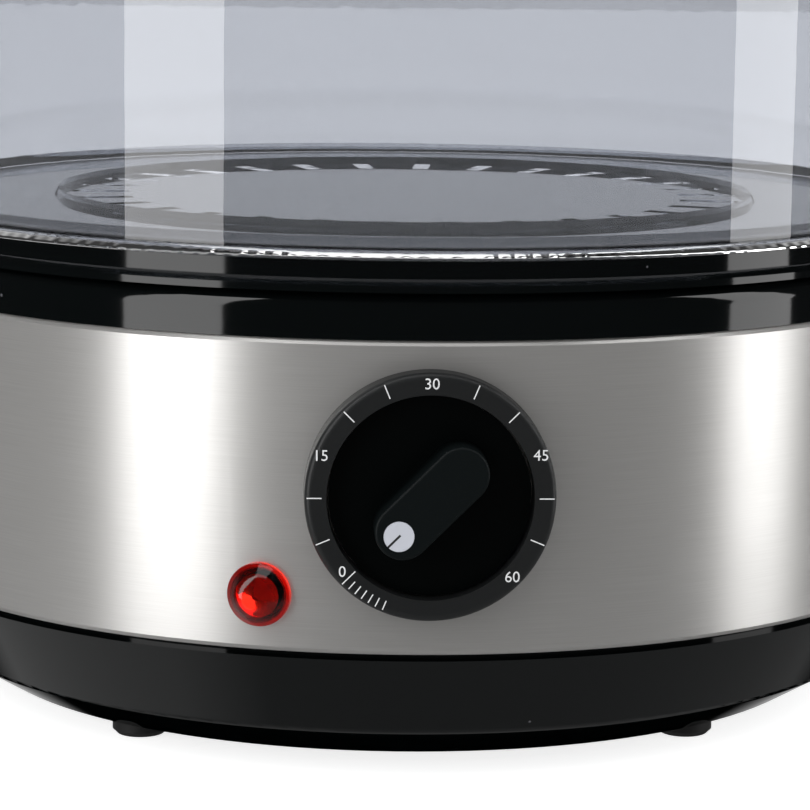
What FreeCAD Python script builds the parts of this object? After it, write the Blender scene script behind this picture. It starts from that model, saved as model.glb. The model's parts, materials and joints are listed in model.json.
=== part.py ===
import FreeCAD, Part
import math
import os
import re
import Sketcher

# Electric food steamer: a round black base with a brushed steel band, a front timer dial and a red lamp,
# a lift-out steam ring and drip tray, two clear stacking bowls with slotted floors, and a clear lid.
# Frame: +Z up, origin on the steamer's axis at the level the feet stand on, dial facing -Y.

doc = FreeCAD.newDocument("FoodSteamer")
sheet = doc.addObject("Spreadsheet::Sheet", "Sizes")

# Driving dimensions in millimetres: name, value, what it is.
driving = [
    ("band_radius", 118, "outer radius of the steel band"),
    ("band_height", 62.5, "height of the steel band"),
    ("band_wall", 0.6, "sheet thickness of the band"),
    ("band_flange", 4.5, "how far the band's edges turn in"),
    ("band_edge_bevel", 1, "outer bevel where the band turns in"),
    ("seat_gap", 0.3, "clearance of a piece that sits in another"),
    ("turn_gap", 0.05, "radial clearance of the turning shaft"),
    ("screw_gap", 0.1, "radial clearance round a screw's shank"),
    ("foot_height", 3.5, "rubber foot under the pan"),
    ("foot_radius", 6, "radius of a foot's pad"),
    ("foot_inset", 7.5, "feet inside the edge of the pan's flat underside"),
    ("foot_angle", 41, "front feet, degrees either side of the dial"),
    ("stem_radius", 2.7, "stem of a foot"),
    ("pan_height", 25.5, "pan, from its underside to the band"),
    ("pan_wall", 2.5, "wall of the pan"),
    ("pan_flat_inset", 22, "edge of the pan's flat underside inside the band's face"),
    ("pan_turn_inset", 10.2, "turn of the pan's side inside the band's face"),
    ("pan_turn_height", 7.1, "height of that turn above the underside"),
    ("shoulder_inset", 1.1, "pan's shoulder inside the band's face"),
    ("shadow_gap", 1.4, "height of the dark gap under the band"),
    ("spigot_height", 4.2, "pan's spigot above the band's lower edge"),
    ("collar_height", 9.3, "black collar above the band"),
    ("collar_inset", 0.4, "collar inside the band's face"),
    ("collar_round", 4, "rounding of the collar's shoulder"),
    ("collar_spigot", 5.5, "tank's spigot below the band's upper edge"),
    ("mouth_inset", 9.8, "tank's mouth inside the band's face"),
    ("tank_taper", 8.2, "how much narrower the tank is at its floor"),
    ("tank_wall", 2.4, "wall of the tank"),
    ("tank_depth", 50.4, "water tank, from its rim to its floor"),
    ("boss_radius", 5, "screw column and screw boss"),
    ("boss_inset", 22, "screw columns inside the tank's foot"),
    ("screw_radius", 1.7, "shank of a housing screw"),
    ("screw_head", 3.4, "head radius of a housing screw"),
    ("screw_head_height", 2, "head height of a housing screw"),
    ("screw_length", 16, "shank length of a housing screw"),
    ("screw_grip", 8, "column that a housing screw clamps"),
    ("screw_point", 1.5, "length of a screw's point"),
    ("bay_side", 8.6, "room beside the timer in the tank's bay"),
    ("bay_behind", 10.4, "room behind the timer's bell"),
    ("bay_above", 4, "room above the timer"),
    ("heater_body", 28, "radius of the heater's body"),
    ("heater_room", 3, "opening in the tank's floor wider than that body"),
    ("heater_land", 5, "heater's flange beyond the opening"),
    ("heater_drop", 2.5, "heater's body below the tank's underside"),
    ("heater_dish", 2, "depth of the heater's dished middle below its flange"),
    ("heater_thickness", 1.6, "flange thickness of the heater plate"),
    ("gasket_thickness", 2, "silicone ring under the heater's flange"),
    ("element_inset", 9, "element's centre line inside the heater's body"),
    ("element_end", 10, "length of the element's turned-down ends"),
    ("element_tube", 3.2, "radius of the element's tube"),
    ("ring_radius", 50, "outer radius of the steam ring"),
    ("ring_height", 28, "height of the steam ring"),
    ("ring_wall", 1.8, "wall of the steam ring"),
    ("ring_turn", 3, "how far the steam ring's top turns in"),
    ("arch_width", 12, "width of an arch at the steam ring's foot"),
    ("arch_height", 7, "height of that arch"),
    ("lip_height", 6.5, "drip tray's lip above the collar"),
    ("lip_flange_proud", 0.2, "tray's flange beyond the band's face"),
    ("lip_bevel", 1.2, "bevel on the flange's upper edge"),
    ("lip_step", 2.6, "height of the tray's flange"),
    ("lip_inset", 1.4, "lip's upright inside the band's face"),
    ("lip_wall", 1.7, "wall of the lip's upright"),
    ("tray_wall", 2, "wall of the tray's dish"),
    ("tray_depth", 10, "dish below the collar's rim"),
    ("chimney_inset", 3.5, "tray's chimney inside the steam ring's outer face"),
    ("chimney_height", 12, "chimney above the dish's underside"),
    ("floor_edge_proud", 2.3, "flared edge of a bowl's floor beyond the band's face"),
    ("floor_flare", 2.1, "how far that edge flares"),
    ("floor_thickness", 1.7, "bowl floor"),
    ("floor_skirt", 2.5, "skirt below a bowl's floor"),
    ("floor_rib", 2.3, "locating rib above a bowl's floor"),
    ("slot_inner", 63, "inner end of the steam slots"),
    ("slot_length", 13, "length of a steam slot"),
    ("slot_width", 4, "width of a steam slot"),
    ("slot_count", 30, "steam slots in a bowl's floor"),
    ("bead_offset", 3, "raised bead outside the slots"),
    ("bead_size", 1.6, "width and height of that bead"),
    ("bowl_inset", 1, "bowl's wall inside the band's face"),
    ("bowl_wall", 2, "wall of a bowl"),
    ("bowl_height", 94, "height of a bowl's wall"),
    ("rim_width", 3, "how far a bowl's rim stands out"),
    ("rim_height", 2.4, "height of a bowl's rim"),
    ("lid_rise", 24, "height of the lid's dome above its flange"),
    ("lid_shoulder_inset", 22.6, "where the lid's dome flattens, inside its skirt"),
    ("lid_crown", 3, "how much higher the lid's middle is than its shoulder"),
    ("lid_shoulder_round", 18, "rounding of that shoulder"),
    ("lid_wall", 2, "wall of the lid"),
    ("lid_skirt", 6, "lid's skirt inside the bowl"),
    ("vent_radius", 3, "steam vents in the lid"),
    ("handle_radius", 19, "top radius of the lid's handle"),
    ("handle_neck", 9, "neck radius of the lid's handle"),
    ("handle_height", 22, "height of the lid's handle"),
    ("handle_flare", 3, "foot of the handle wider than its neck"),
    ("handle_cap", 7, "height of the handle's cap"),
    ("lid_screw_head", 6, "head radius of the handle's screw"),
    ("lid_screw_head_height", 1.6, "head height of the handle's screw"),
    ("lid_screw_length", 12, "shank length of the handle's screw"),
    ("dial_rise", 32.6, "dial's centre above the band's lower edge"),
    ("dial_radius", 24.5, "outer radius of the dial ring"),
    ("dial_width", 4.3, "width of the dial ring's face"),
    ("disc_gap", 0.5, "running gap round the knob's disc"),
    ("peg_radius", 1.5, "pegs behind the dial ring"),
    ("dial_proud", 5.6, "dial ring's face in front of the band"),
    ("dial_recess", 2.8, "knob's disc behind the ring's face"),
    ("disc_thickness", 1.6, "knob's disc"),
    ("grip_height", 8.7, "grip in front of the knob's disc"),
    ("grip_radius", 5.5, "end radius of the grip"),
    ("grip_reach", 7.85, "end centres from the knob's axis"),
    ("grip_round", 0.7, "rounding of the grip's front edge"),
    ("grip_angle", 45, "grip's lean from level, degrees"),
    ("marker_radius", 2.95, "grey pointer inlay"),
    ("marker_edge", 1.45, "grip left between the inlay and its end"),
    ("marker_depth", 0.9, "thickness of the inlay"),
    ("shaft_radius", 3, "timer's shaft"),
    ("shaft_flat", 2.1, "shaft's flat from its axis"),
    ("knob_socket", 6, "depth of the knob's socket"),
    ("timer_width", 38, "width of the timer's case"),
    ("timer_tall", 34, "height of the timer's case"),
    ("timer_depth", 17.5, "depth of the timer's case"),
    ("cover_margin", 1, "timer's front plate beyond its case, each side"),
    ("cover_thickness", 1.6, "timer's front plate"),
    ("timer_screw_inset", 5, "timer screws inside the case's sides"),
    ("timer_screw_length", 8, "shank length of a timer screw"),
    ("timer_screw_head", 1.1, "head height of a timer screw"),
    ("timer_screw_bore", 6, "depth of a timer screw's hole in the case"),
    ("bell_radius", 15, "bell behind the timer"),
    ("bell_depth", 7.5, "depth of the bell"),
    ("bell_wall", 0.8, "sheet thickness of the bell"),
    ("bell_bevel", 2.5, "bevel round the bell's back"),
    ("bell_post", 2.5, "radius of the post that carries the bell"),
    ("lamp_turn", 16.2, "lamp round from the dial, degrees"),
    ("lamp_rise", 11.5, "lamp's centre above the band's lower edge"),
    ("lens_radius", 6.4, "radius of the lamp's lens"),
    ("lens_rise", 4.4, "lens in front of the band"),
    ("lens_neck", 4.6, "radius of the lens's neck"),
    ("lens_wall", 1, "wall of the lens"),
    ("neck_length", 9, "neck of the lens behind the band"),
    ("bulb_radius", 2.6, "neon bulb"),
    ("holder_wall", 2, "wall of the lamp's push-on cap"),
    ("holder_fit", 0.2, "clearance of that cap round the lens's neck"),
    ("cord_rise", 11.3, "cord's way in above the pan's underside"),
    ("cord_boss", 9, "radius of the boss round the cord's bush"),
    ("cord_inset", 3.5, "face of that boss inside the band's face"),
    ("bush_radius", 5, "neck of the cord's bush"),
    ("bush_bore", 3.2, "bore of the cord's bush"),
    ("bush_head", 2, "thickness of the bush's head"),
    ("block_aside", 12, "terminal block beside the middle"),
    ("block_length", 30, "length of the terminal block"),
    ("block_depth", 12, "depth and height of the terminal block"),
    ("block_inset", 16, "terminal block inside the edge of the pan's flat underside"),
    ("block_bore", 1.8, "wire holes of the terminal block"),
    ("air_slot_inner", 34, "inner end of the pan's air slots"),
    ("air_slot_length", 22, "length of an air slot"),
    ("air_slot_width", 3, "width of an air slot"),
]

# Levels and fits that follow from the driving dimensions: name, formula, what it is.
worked_out = [
    ("pan_flat", "band_radius - pan_flat_inset", "radius of the pan's flat underside"),
    ("pan_turn", "band_radius - pan_turn_inset", "radius where the pan's side turns under"),
    ("foot_circle", "pan_flat - foot_inset", "distance of the feet from the axis"),
    ("tank_mouth", "band_radius - mouth_inset", "inner radius of the tank at its mouth"),
    ("tank_foot", "tank_mouth - tank_taper", "inner radius of the tank at its floor"),
    ("boss_circle", "tank_foot - boss_inset", "distance of the screw columns from the axis"),
    ("heater_opening", "heater_body + heater_room", "opening in the tank's floor"),
    ("heater_radius", "heater_opening + heater_land", "flange of the heater plate"),
    ("element_radius", "heater_body - element_inset", "centre radius of the sheathed element"),
    ("lip_flange", "band_radius + lip_flange_proud", "outer radius of the tray's flange"),
    ("lip_radius", "band_radius - lip_inset", "outer radius of the lip's upright"),
    ("chimney_radius", "ring_radius - chimney_inset", "outer radius of the tray's chimney"),
    ("floor_edge_radius", "band_radius + floor_edge_proud", "flared edge of a bowl's floor"),
    ("bead_radius", "slot_inner + slot_length + bead_offset", "raised bead outside the slots"),
    ("bowl_radius", "band_radius - bowl_inset", "outer radius of a bowl's wall"),
    ("band_bottom", "foot_height + pan_height", "lower edge of the band"),
    ("dial_height", "band_bottom + dial_rise", "height of the dial's centre"),
    ("lamp_height", "band_bottom + lamp_rise", "height of the lamp's centre"),
    ("cord_height", "foot_height + cord_rise", "height of the cord's way in"),
    ("cord_face", "band_radius - cord_inset", "face of the cord's boss from the axis"),
    ("dial_opening", "dial_radius - dial_width", "inner radius of the dial ring"),
    ("peg_circle", "(dial_radius + dial_opening) / 2", "distance of the pegs from the dial's centre"),
    ("marker_reach", "grip_reach + grip_radius - marker_radius - marker_edge", "inlay's centre"),
    ("band_top", "band_bottom + band_height", "upper edge of the band"),
    ("band_inside", "band_radius - band_wall", "inner face of the band"),
    ("flange_edge", "band_radius - band_flange", "inner edge of the band's flanges"),
    ("spigot_radius", "flange_edge - seat_gap", "spigots inside the band's flanges"),
    ("pan_floor", "foot_height + pan_wall + 0.3", "inside of the pan's floor"),
    ("spigot_top", "band_bottom + spigot_height", "top of the pan's spigot and columns"),
    ("collar_top", "band_top + collar_height", "top of the collar"),
    ("tank_floor", "collar_top - tank_depth", "inside of the tank's floor"),
    ("tank_under", "tank_floor - tank_wall", "underside of the tank's floor"),
    ("lip_top", "collar_top + lip_height", "top of the drip tray's lip"),
    ("lip_inside", "lip_radius - lip_wall", "inner radius of the tray's lip"),
    ("skirt_radius", "lip_inside - seat_gap", "skirt of a bowl's floor"),
    ("lid_shoulder", "skirt_radius - lid_shoulder_inset", "radius where the lid's dome flattens"),
    ("bowl_inside", "bowl_radius - bowl_wall", "inner radius of a bowl"),
    ("tier_height", "floor_thickness + bowl_height", "one bowl with its floor"),
    ("lid_seat", "lip_top + 2 * tier_height", "underside of the lid's flange"),
    ("dial_face", "band_radius + dial_proud", "dial ring's face from the axis"),
    ("disc_face", "dial_face - dial_recess", "front of the knob's disc"),
    ("disc_back", "disc_face - disc_thickness", "back of the knob's disc"),
    ("grip_face", "disc_face + grip_height", "front of the grip"),
    ("cover_width", "timer_width + 2 * cover_margin", "width of the timer's front plate"),
    ("cover_tall", "timer_tall + 2 * cover_margin", "height of the timer's front plate"),
    ("cover_front", "sqrt(band_inside ^ 2 - (cover_width / 2) ^ 2) - seat_gap", "front plate's face"),
    ("cover_back", "cover_front - cover_thickness", "back of the timer's front plate"),
    ("case_back", "cover_back - timer_depth", "back of the timer's case"),
    ("bell_back", "case_back - bell_depth", "back of the bell"),
    ("bay_back", "bell_back - bay_behind", "back wall of the tank's bay for the timer"),
    ("bay_width", "cover_width + 2 * bay_side", "width of that bay"),
    ("bay_height", "dial_height + cover_tall / 2 + bay_above - tank_under", "height of that bay"),
    ("timer_screw_reach", "timer_width / 2 - timer_screw_inset", "timer screws, either side of the shaft"),
    ("screw_seat", "spigot_top - screw_grip", "shoulder the housing screws pull on"),
    ("gasket_top", "tank_floor + gasket_thickness", "underside of the heater's flange"),
    ("heater_under", "tank_under - heater_drop", "underside of the heater's body"),
]


def fill_sheet():
    """Write every size into the sheet with its alias."""
    for row, (name, entry, note) in enumerate(driving + worked_out, start=1):
        text = "=" + entry if isinstance(entry, str) else str(entry)
        sheet.set(f"A{row}", name)
        sheet.set(f"B{row}", text)
        sheet.set(f"C{row}", note)
        sheet.setAlias(f"B{row}", name)
    doc.recompute()


names = {entry[0] for entry in driving + worked_out}


def linked(formula):
    """The formula with every size's name pointing at the sheet."""
    return re.sub(r"[a-z][a-z_]+", lambda word: "Sizes." + word[0] if word[0] in names else word[0], str(formula))


def value(formula):
    """What a formula of sizes comes to now."""
    return float(sheet.evalExpression(str(formula)))


def bind(thing, path, formula):
    """Tie one property of a feature to a formula of sizes."""
    thing.setExpression(path, linked(formula))


def new_body(label):
    body = doc.addObject("PartDesign::Body", "Body_" + label)
    body.Label = label
    return body


def new_sketch(body, plane, offset=None):
    """A sketch on one of the body's own origin planes, moved out along that plane's normal."""
    sketch = body.newObject("Sketcher::SketchObject", "Sketch")
    support = [item for item in body.Origin.OriginFeatures if item.Role == plane][0]
    sketch.AttachmentSupport = [(support, "")]
    sketch.MapMode = "FlatFace"
    if offset is not None:
        bind(sketch, "AttachmentOffset.Base.z", offset)
    return sketch


def pin_point(sketch, geometry, position, across, up):
    """Hold one point of a sketch at formulas measured from the sketch's origin."""
    for kind, formula, axis in (("DistanceX", across, -2), ("DistanceY", up, -1)):
        if str(formula) == "0":
            sketch.addConstraint(Sketcher.Constraint("PointOnObject", geometry, position, axis))
            continue
        number = sketch.addConstraint(Sketcher.Constraint(kind, -1, 1, geometry, position, value(formula)))
        bind(sketch, f"Constraints[{number}]", formula)


def outline(sketch, corners):
    """A closed outline through corners (across, up) or (across, up, rounding), all of them formulas."""
    spots = [FreeCAD.Vector(value(corner[0]), value(corner[1]), 0) for corner in corners]
    rounds = [corner[2] if len(corner) > 2 else None for corner in corners]
    arriving = list(spots)
    leaving = list(spots)
    middles = {}
    for i, spot in enumerate(spots):
        if rounds[i] is None:
            continue
        back = (spots[i - 1] - spot).normalize()
        ahead = (spots[(i + 1) % len(spots)] - spot).normalize()
        half = back.getAngle(ahead) / 2
        radius = value(rounds[i])
        arriving[i] = spot + back * (radius / math.tan(half))
        leaving[i] = spot + ahead * (radius / math.tan(half))
        inward = (back + ahead).normalize()
        middles[i] = spot + inward * (radius / math.sin(half) - radius)
    first = sketch.GeometryCount
    for i in range(len(spots)):
        sketch.addGeometry(Part.LineSegment(leaving[i], arriving[(i + 1) % len(spots)]), False)
    for i, corner in enumerate(corners):
        line_in = first + (i - 1) % len(spots)
        line_out = first + i
        if i not in middles:
            sketch.addConstraint(Sketcher.Constraint("Coincident", line_in, 2, line_out, 1))
            pin_point(sketch, line_out, 1, corner[0], corner[1])
            continue
        arc = sketch.addGeometry(Part.Arc(arriving[i], middles[i], leaving[i]), False)
        near = 1 if (sketch.getPoint(arc, 1) - arriving[i]).Length < 1e-6 else 2
        sketch.addConstraint(Sketcher.Constraint("Tangent", line_in, 2, arc, near))
        sketch.addConstraint(Sketcher.Constraint("Tangent", line_out, 1, arc, 3 - near))
        number = sketch.addConstraint(Sketcher.Constraint("Radius", arc, value(corner[2])))
        bind(sketch, f"Constraints[{number}]", corner[2])
        point = sketch.addGeometry(Part.Point(spots[i]), True)
        sketch.addConstraint(Sketcher.Constraint("PointOnObject", point, 1, line_in))
        sketch.addConstraint(Sketcher.Constraint("PointOnObject", point, 1, line_out))
        pin_point(sketch, point, 1, corner[0], corner[1])


def circle(sketch, across, up, radius):
    """A circle with its centre and radius given as formulas."""
    centre = FreeCAD.Vector(value(across), value(up), 0)
    ring = sketch.addGeometry(Part.Circle(centre, FreeCAD.Vector(0, 0, 1), value(radius)), False)
    pin_point(sketch, ring, 3, across, up)
    number = sketch.addConstraint(Sketcher.Constraint("Radius", ring, value(radius)))
    bind(sketch, f"Constraints[{number}]", radius)


def box_outline(sketch, left, right, low, high, rounding=None):
    """A rectangle between four formulas, with rounded corners if a rounding is given."""
    corners = [(left, low), (right, low), (right, high), (left, high)]
    outline(sketch, [corner + (rounding,) if rounding else corner for corner in corners])


def grow(body, kind, sketch, length=None, reverse=False):
    """Add or cut one feature made from a sketch, and make sure that it does so."""
    doc.recompute()
    before = body.Shape.Volume if body.Tip else 0.0
    feature = body.newObject("PartDesign::" + kind, kind)
    feature.Profile = sketch
    if kind in ("Revolution", "Groove"):
        feature.ReferenceAxis = (sketch, ["V_Axis"])
        feature.Angle = 360
    else:
        feature.Reversed = reverse
        bind(feature, "Length", length)
    body.Tip = feature
    doc.recompute()
    check_change(body, before, kind in ("Pocket", "Groove"))
    return feature


def check_change(body, before, cutting):
    """Stop if a feature that should add or remove material did nothing."""
    change = body.Shape.Volume - before
    if (cutting and change > -1e-6) or (not cutting and change < 1e-6):
        raise RuntimeError(f"{body.Label}: a feature changed the volume by {change:.4f}")


def spread(body, feature, count, axis="Z_Axis"):
    """Repeat a feature evenly round one of the body's axes."""
    before = body.Shape.Volume
    pattern = body.newObject("PartDesign::PolarPattern", "PolarPattern")
    pattern.Originals = [feature]
    around = [item for item in body.Origin.OriginFeatures if item.Role == axis][0]
    pattern.Axis = (around, [""])
    pattern.Angle = 360
    pattern.Occurrences = count
    body.Tip = pattern
    doc.recompute()
    check_change(body, before, feature.TypeId in ("PartDesign::Pocket", "PartDesign::Groove"))
    return pattern


def turned(label, corners, axis="Z"):
    """A body turned about its Z axis, or about its Y axis for pieces that face the front."""
    body = new_body(label)
    sketch = new_sketch(body, "XZ_Plane" if axis == "Z" else "XY_Plane")
    outline(sketch, corners)
    grow(body, "Revolution", sketch)
    return body


def place(body, across=None, along=None, up=None, turn=None):
    """Move a body by formulas, and turn it about Z by a formula in degrees."""
    for axis, formula in (("x", across), ("y", along), ("z", up)):
        if formula is not None:
            bind(body, "Placement.Base." + axis, formula)
    if turn is not None:
        body.Placement.Rotation = FreeCAD.Rotation(FreeCAD.Vector(0, 0, 1), 1)
        bind(body, "Placement.Rotation.Angle", turn)
    return body


def grouped(label, bodies):
    """Identical pieces that share one node."""
    group = doc.addObject("Part::Compound", "Group_" + label)
    group.Label = label
    group.Links = bodies
    return group


# Base: pan, feet, steel band and water tank.

foot_turns = ["90 - foot_angle", "90 + foot_angle", "270 - foot_angle", "270 + foot_angle"]
boss_turns = ["90", "210", "330"]
peg_turns = ["0", "90", "180", "270"]


def make_lower_housing():
    """Black moulded pan: its side tapers in and turns under to a flat underside, a spigot rises inside the
    steel band, and it has foot holes, air slots, screw columns and a boss for the cord's bush."""
    shoulder = "band_bottom - shadow_gap"
    body = turned("lower_housing", [
        ("0", "foot_height"),
        ("pan_flat", "foot_height"),
        ("pan_turn", "foot_height + pan_turn_height", "3"),
        ("band_radius - shoulder_inset", shoulder),
        ("band_radius - shoulder_inset - 1.7", shoulder),
        ("band_radius - shoulder_inset - 1.7", "band_bottom"),
        ("spigot_radius", "band_bottom"),
        ("spigot_radius", "spigot_top"),
        ("spigot_radius - pan_wall", "spigot_top"),
        ("spigot_radius - pan_wall", shoulder),
        ("pan_turn - pan_wall - 0.5", "foot_height + pan_turn_height + 1.3"),
        ("pan_flat - 1", "pan_floor"),
        ("0", "pan_floor"),
    ])
    sketch = new_sketch(body, "XY_Plane", "foot_height")
    for turn in boss_turns:
        circle(sketch, f"boss_circle * cos({turn})", f"boss_circle * sin({turn})", "boss_radius")
    grow(body, "Pad", sketch, "spigot_top - foot_height")
    sketch = new_sketch(body, "XZ_Plane", "-cord_face")
    circle(sketch, "0", "cord_height", "cord_boss")
    grow(body, "Pad", sketch, "cord_face - pan_turn + pan_wall")
    sketch = new_sketch(body, "XZ_Plane", "-cord_face")
    circle(sketch, "0", "cord_height", "bush_radius + seat_gap")
    grow(body, "Pocket", sketch, "cord_face - pan_flat", reverse=True)
    sketch = new_sketch(body, "XY_Plane")
    for turn in foot_turns:
        circle(sketch, f"foot_circle * cos({turn})", f"foot_circle * sin({turn})", "stem_radius + seat_gap")
    grow(body, "Pocket", sketch, "pan_floor", reverse=True)
    for radius, top in (("screw_head + seat_gap", "screw_seat"), ("screw_radius + screw_gap", "spigot_top")):
        sketch = new_sketch(body, "XY_Plane")
        for turn in boss_turns:
            circle(sketch, f"boss_circle * cos({turn})", f"boss_circle * sin({turn})", radius)
        grow(body, "Pocket", sketch, top, reverse=True)
    sketch = new_sketch(body, "XY_Plane")
    box_outline(sketch, "air_slot_inner", "air_slot_inner + air_slot_length",
                "-air_slot_width / 2", "air_slot_width / 2")
    slot = grow(body, "Pocket", sketch, "pan_floor", reverse=True)
    spread(body, slot, 12)
    return body


def make_feet():
    """Four rubber feet, each with a pad, a stem through the pan and a head that holds it."""
    feet = []
    for number, turn in enumerate(foot_turns, start=1):
        foot = turned(f"rubber_foot_{number}", [
            ("0", "0"),
            ("foot_radius - 1", "0"),
        ("foot_radius", "1"),
            ("foot_radius", "foot_height"),
            ("stem_radius", "foot_height"),
            ("stem_radius", "pan_floor"),
            ("stem_radius + 1.2", "pan_floor"),
            ("stem_radius - 0.7", "pan_floor + 2.5"),
            ("0", "pan_floor + 2.5"),
        ])
        place(foot, f"foot_circle * cos({turn})", f"foot_circle * sin({turn})")
        feet.append(foot)
    return grouped("rubber_feet", feet)


def make_screw(label, head_radius, head_height, shank_radius, length):
    """A pan-head screw standing on its head, with the shank upwards and a short point."""
    return turned(label, [
        ("0", f"0 - ({head_height})"),
        (head_radius, f"0 - ({head_height})"),
        (head_radius, "0"),
        (shank_radius, "0"),
        (shank_radius, f"{length} - screw_point"),
        ("0.5", length),
        ("0", length),
    ])


def make_housing_screws():
    screws = []
    for number, turn in enumerate(boss_turns, start=1):
        screw = make_screw(f"housing_screw_{number}", "screw_head", "screw_head_height", "screw_radius",
                           "screw_length")
        place(screw, f"boss_circle * cos({turn})", f"boss_circle * sin({turn})", "screw_seat")
        screws.append(screw)
    return grouped("housing_screws", screws)


def make_steel_band():
    """Sheet steel band with both edges rolled inwards, and holes for the dial and the lamp."""
    body = turned("steel_band", [
        ("flange_edge", "band_bottom"),
        ("band_radius - band_edge_bevel", "band_bottom"),
        ("band_radius", "band_bottom + band_edge_bevel"),
        ("band_radius", "band_top - band_edge_bevel"),
        ("band_radius - band_edge_bevel", "band_top"),
        ("flange_edge", "band_top"),
        ("flange_edge", "band_top - band_wall"),
        ("band_inside", "band_top - band_wall"),
        ("band_inside", "band_bottom + band_wall"),
        ("flange_edge", "band_bottom + band_wall"),
    ])
    sketch = new_sketch(body, "XZ_Plane", "band_radius - 20")
    circle(sketch, "0", "dial_height", "shaft_radius + 1")
    for side in ("-", ""):
        circle(sketch, f"{side}timer_screw_reach", "dial_height", "screw_radius + screw_gap")
    for turn in peg_turns:
        circle(sketch, f"peg_circle * cos({turn})", f"dial_height + peg_circle * sin({turn})",
               "peg_radius + screw_gap")
    grow(body, "Pocket", sketch, "25", reverse=True)
    sketch = new_sketch(body, "XZ_Plane", "band_radius - 20")
    sketch.AttachmentOffset = FreeCAD.Placement(FreeCAD.Vector(), FreeCAD.Rotation(FreeCAD.Vector(0, 1, 0), 1))
    bind(sketch, "AttachmentOffset.Rotation.Angle", "-lamp_turn")
    bind(sketch, "AttachmentOffset.Base.x", "-(band_radius - 20) * sin(lamp_turn)")
    bind(sketch, "AttachmentOffset.Base.z", "(band_radius - 20) * cos(lamp_turn)")
    circle(sketch, "0", "lamp_height", "lens_neck + seat_gap")
    grow(body, "Pocket", sketch, "25", reverse=True)
    return body


def make_water_tank():
    """Black moulding: the rounded collar above the band, the reservoir with its opening for the heater,
    a bay that leaves room for the timer, and bosses for the housing screws."""
    body = turned("water_tank", [
        ("band_radius - collar_inset", "band_top"),
        ("band_radius - collar_inset", "collar_top", "collar_round"),
        ("tank_mouth", "collar_top"),
        ("tank_foot", "tank_floor"),
        ("heater_opening", "tank_floor"),
        ("heater_opening", "tank_under"),
        ("tank_foot + tank_wall", "tank_under"),
        ("spigot_radius - tank_wall", "band_top - collar_spigot"),
        ("spigot_radius", "band_top - collar_spigot"),
        ("spigot_radius", "band_top"),
    ])
    sketch = new_sketch(body, "XY_Plane", "tank_under")
    box_outline(sketch, "-bay_width / 2 - tank_wall", "bay_width / 2 + tank_wall",
                "-tank_foot", "-bay_back + tank_wall")
    grow(body, "Pad", sketch, "bay_height + tank_wall")
    sketch = new_sketch(body, "XY_Plane", "tank_under")
    box_outline(sketch, "-bay_width / 2", "bay_width / 2", "-band_inside", "-bay_back")
    grow(body, "Pocket", sketch, "bay_height", reverse=True)
    sketch = new_sketch(body, "XY_Plane", "spigot_top")
    for turn in boss_turns:
        circle(sketch, f"boss_circle * cos({turn})", f"boss_circle * sin({turn})", "boss_radius")
    grow(body, "Pad", sketch, "tank_under - spigot_top")
    sketch = new_sketch(body, "XY_Plane", "spigot_top")
    for turn in boss_turns:
        circle(sketch, f"boss_circle * cos({turn})", f"boss_circle * sin({turn})", "screw_radius + screw_gap")
    grow(body, "Pocket", sketch, "screw_length - screw_grip + 1", reverse=True)
    return body


# Heater in the tank's floor.

def make_heater_plate():
    """Cast plate in the tank's floor: a thin flange on the gasket and a thick body in the opening."""
    return turned("heater_plate", [
        ("0", "heater_under"),
        ("heater_body", "heater_under"),
        ("heater_body", "gasket_top"),
        ("heater_radius", "gasket_top"),
        ("heater_radius", "gasket_top + heater_thickness"),
        ("heater_body - 3", "gasket_top + heater_thickness"),
        ("heater_body - 5", "gasket_top - heater_dish"),
        ("0", "gasket_top - heater_dish"),
    ])


def make_heater_gasket():
    return turned("heater_gasket", [
        ("heater_body + seat_gap", "tank_floor"),
        ("heater_radius", "tank_floor"),
        ("heater_radius", "gasket_top"),
        ("heater_body + seat_gap", "gasket_top"),
    ])


def make_heater_clamp():
    """Steel ring that pulls the heater down from under the tank's floor."""
    body = turned("heater_clamp", [
        ("heater_body + seat_gap", "tank_under - 1.2"),
        ("heater_radius + 3", "tank_under - 1.2"),
        ("heater_radius + 3", "tank_under"),
        ("heater_body + seat_gap", "tank_under"),
    ])
    return body


def make_heating_element():
    """Sheathed element: most of a ring under the heater plate, with both ends turned down."""
    ring = doc.addObject("Part::Torus", "Element_ring")
    bind(ring, "Radius1", "element_radius")
    bind(ring, "Radius2", "element_tube")
    ring.Angle3 = 300
    pieces = [ring]
    for turn in (0, 300):
        for kind in ("Sphere", "Cylinder"):
            end = doc.addObject("Part::" + kind, "Element_end")
            bind(end, "Radius", "element_tube")
            if kind == "Cylinder":
                bind(end, "Height", "element_end")
            bind(end, "Placement.Base.x", f"element_radius * cos({turn})")
            bind(end, "Placement.Base.y", f"element_radius * sin({turn})")
            bind(end, "Placement.Base.z", "-element_end" if kind == "Cylinder" else "0")
            pieces.append(end)
    element = doc.addObject("Part::MultiFuse", "Element")
    element.Label = "heating_element"
    element.Shapes = pieces
    element.Placement.Rotation = FreeCAD.Rotation(FreeCAD.Vector(0, 0, 1), 120)
    bind(element, "Placement.Base.z", "heater_under - element_tube - 0.05")
    return element


def make_thermostat():
    """Bimetal thermostat pressed against the middle of the heater plate."""
    return turned("thermostat", [
        ("0", "heater_under - 9"),
        ("5.5", "heater_under - 9"),
        ("5.5", "heater_under - 4"),
        ("8", "heater_under - 4"),
        ("8", "heater_under"),
        ("0", "heater_under"),
    ])


# Timer, dial and knob. These are turned about Y and raised to the dial's centre.

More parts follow.
